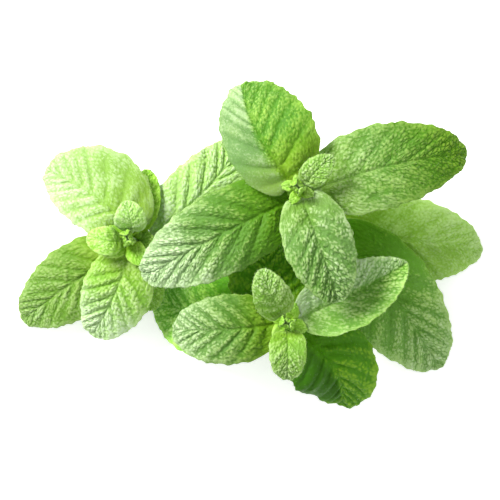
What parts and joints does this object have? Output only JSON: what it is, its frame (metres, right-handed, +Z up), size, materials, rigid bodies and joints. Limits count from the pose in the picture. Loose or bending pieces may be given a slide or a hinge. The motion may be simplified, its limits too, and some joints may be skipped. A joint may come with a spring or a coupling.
{
  "type": "mint sprig",
  "caption": "Cut sprig of mint lying down: one square branching stem with broad, toothed, quilted leaves in opposite pairs, seen from above.",
  "frame": {"origin": "middle of the sprig's footprint, on the surface it lies on", "axes": "+X to the right along its longest extent, +Y to the back, +Z up away from the surface"},
  "size_m": [0.13, 0.0903, 0.0411],
  "materials": {
    "stem": "smooth green stem",
    "leaf_fresh": "soft green leaf",
    "leaf_soft": "soft green leaf with a hairy bloom",
    "leaf_pale": "light green leaf",
    "leaf_young": "young hairy leaf"
  },
  "bodies": {
    "root": {"stem": "stem", "crown_young_leaf": "leaf_young", "crown_leaf_back": "leaf_fresh", "crown_leaf_front": "leaf_soft", "crown_leaf_right": "leaf_soft", "crown_leaf_left": "leaf_soft", "crown_low_leaf_front": "leaf_soft", "crown_low_leaf_right": "leaf_pale", "front_young_leaf_back": "leaf_young", "front_young_leaf_front": "leaf_young", "front_leaf_left": "leaf_soft", "front_leaf_right": "leaf_soft", "front_mid_leaf_back": "leaf_fresh", "front_mid_leaf_front": "leaf_fresh", "front_low_leaf_left": "leaf_fresh", "front_low_leaf_right": "leaf_fresh", "left_young_leaf_back": "leaf_young", "left_young_leaf_front": "leaf_young", "left_leaf_front": "leaf_young", "left_leaf_back": "leaf_pale", "left_inner_leaf_back": "leaf_young", "left_inner_leaf_front": "leaf_young", "left_low_leaf_front": "leaf_young", "left_low_leaf_back": "leaf_pale"}
  },
  "joints": []
}
